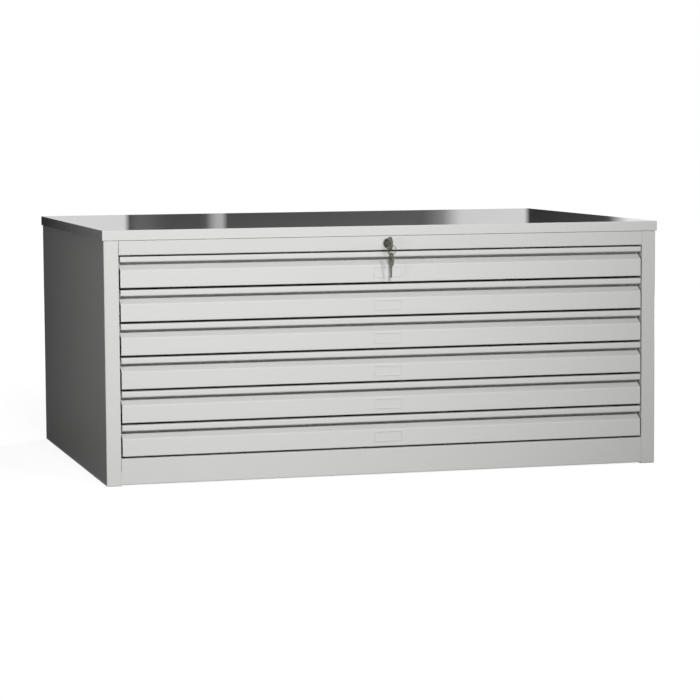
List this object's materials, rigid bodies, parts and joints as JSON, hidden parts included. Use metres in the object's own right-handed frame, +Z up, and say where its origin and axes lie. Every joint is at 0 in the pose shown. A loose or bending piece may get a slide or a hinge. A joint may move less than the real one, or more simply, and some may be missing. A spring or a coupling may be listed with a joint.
{
  "type": "flat file cabinet",
  "caption": "Low sheet steel plan chest with shallow full-width drawers on roller runners, finger grooves, label holders and a central lock.",
  "frame": {"origin": "on the floor, under the middle of the cabinet with its keys in the lock", "axes": "+X along the width, to the right seen from the front; +Y to the back; +Z up; drawers open towards -Y"},
  "size_m": [1, 0.7236, 0.435],
  "materials": {
    "cover_paint": "smooth light grey powder coat, semi-gloss",
    "frame_paint": "smooth light grey powder coat, satin",
    "drawer_paint": "smooth light grey powder coat, satin",
    "runner_zinc": "bright zinc plate",
    "lock_nickel": "polished nickel plate",
    "key_nickel": "nickel plate, worn satin",
    "linkage_zinc": "dull zinc plate"
  },
  "bodies": {
    "cabinet": {"top_cover": "cover_paint", "left_side_panel": "frame_paint", "right_side_panel": "frame_paint", "back_panel": "frame_paint", "bottom_panel": "frame_paint", "plinth": "frame_paint", "top_rail": "frame_paint", "rear_rail": "frame_paint", "left_rear_upright": "frame_paint", "right_rear_upright": "frame_paint", "lock_housing": "lock_nickel", "lock_nut": "lock_nickel", "cabinet_1_left_runner": "runner_zinc", "cabinet_1_right_runner": "runner_zinc", "cabinet_2_left_runner": "runner_zinc", "cabinet_2_right_runner": "runner_zinc", "cabinet_3_left_runner": "runner_zinc", "cabinet_3_right_runner": "runner_zinc", "cabinet_4_left_runner": "runner_zinc", "cabinet_4_right_runner": "runner_zinc", "cabinet_5_left_runner": "runner_zinc", "cabinet_5_right_runner": "runner_zinc", "cabinet_6_left_runner": "runner_zinc", "cabinet_6_right_runner": "runner_zinc"},
    "drawer_1": {"drawer_1_front": "drawer_paint", "drawer_1_pan": "drawer_paint", "drawer_1_label_holder": "drawer_paint", "drawer_1_left_runner": "runner_zinc", "drawer_1_right_runner": "runner_zinc"},
    "drawer_2": {"drawer_2_front": "drawer_paint", "drawer_2_pan": "drawer_paint", "drawer_2_label_holder": "drawer_paint", "drawer_2_left_runner": "runner_zinc", "drawer_2_right_runner": "runner_zinc"},
    "drawer_3": {"drawer_3_front": "drawer_paint", "drawer_3_pan": "drawer_paint", "drawer_3_label_holder": "drawer_paint", "drawer_3_left_runner": "runner_zinc", "drawer_3_right_runner": "runner_zinc"},
    "drawer_4": {"drawer_4_front": "drawer_paint", "drawer_4_pan": "drawer_paint", "drawer_4_label_holder": "drawer_paint", "drawer_4_left_runner": "runner_zinc", "drawer_4_right_runner": "runner_zinc"},
    "drawer_5": {"drawer_5_front": "drawer_paint", "drawer_5_pan": "drawer_paint", "drawer_5_label_holder": "drawer_paint", "drawer_5_left_runner": "runner_zinc", "drawer_5_right_runner": "runner_zinc"},
    "drawer_6": {"drawer_6_front": "drawer_paint", "drawer_6_pan": "drawer_paint", "drawer_6_label_holder": "drawer_paint", "drawer_6_left_runner": "runner_zinc", "drawer_6_right_runner": "runner_zinc"},
    "lock": {"lock_plug": "lock_nickel", "lock_cam": "linkage_zinc", "key": "key_nickel"},
    "locking_bar": {"locking_bar": "linkage_zinc"},
    "key_ring": {"key_ring": "key_nickel"},
    "spare_key": {"spare_key": "key_nickel"}
  },
  "joints": [
    {"name": "drawer_1_slide", "type": "slide", "parent": "cabinet", "child": "drawer_1", "axis": [0, -1, 0], "range_m": [0, 0.48]},
    {"name": "drawer_2_slide", "type": "slide", "parent": "cabinet", "child": "drawer_2", "axis": [0, -1, 0], "range_m": [0, 0.48]},
    {"name": "drawer_3_slide", "type": "slide", "parent": "cabinet", "child": "drawer_3", "axis": [0, -1, 0], "range_m": [0, 0.48]},
    {"name": "drawer_4_slide", "type": "slide", "parent": "cabinet", "child": "drawer_4", "axis": [0, -1, 0], "range_m": [0, 0.48]},
    {"name": "drawer_5_slide", "type": "slide", "parent": "cabinet", "child": "drawer_5", "axis": [0, -1, 0], "range_m": [0, 0.48]},
    {"name": "drawer_6_slide", "type": "slide", "parent": "cabinet", "child": "drawer_6", "axis": [0, -1, 0], "range_m": [0, 0.48]},
    {"name": "lock_turn", "type": "hinge", "parent": "cabinet", "child": "lock", "pos_m": [0, -0.32855, 0.4045], "axis": [0, 1, 0], "range_deg": [0, 90]},
    {"name": "locking_bar_slide", "type": "slide", "parent": "cabinet", "child": "locking_bar", "axis": [1, 0, 0], "range_m": [0, 0.01697]},
    {"name": "key_ring_turn", "type": "hinge", "parent": "lock", "child": "key_ring", "pos_m": [0, -0.34985, 0.3975], "axis": [0, 1, 0], "range_deg": [-90, 0]},
    {"name": "spare_key_swing", "type": "hinge", "parent": "key_ring", "child": "spare_key", "pos_m": [0, -0.34985, 0.3859], "axis": [1, 0, 0], "range_deg": [-75, 30]}
  ],
  "couplings": [
    {"joint": "lock_turn", "follows": "locking_bar_slide", "rad_per_m": 92.56},
    {"joint": "key_ring_turn", "follows": "locking_bar_slide", "rad_per_m": -92.56}
  ]
}
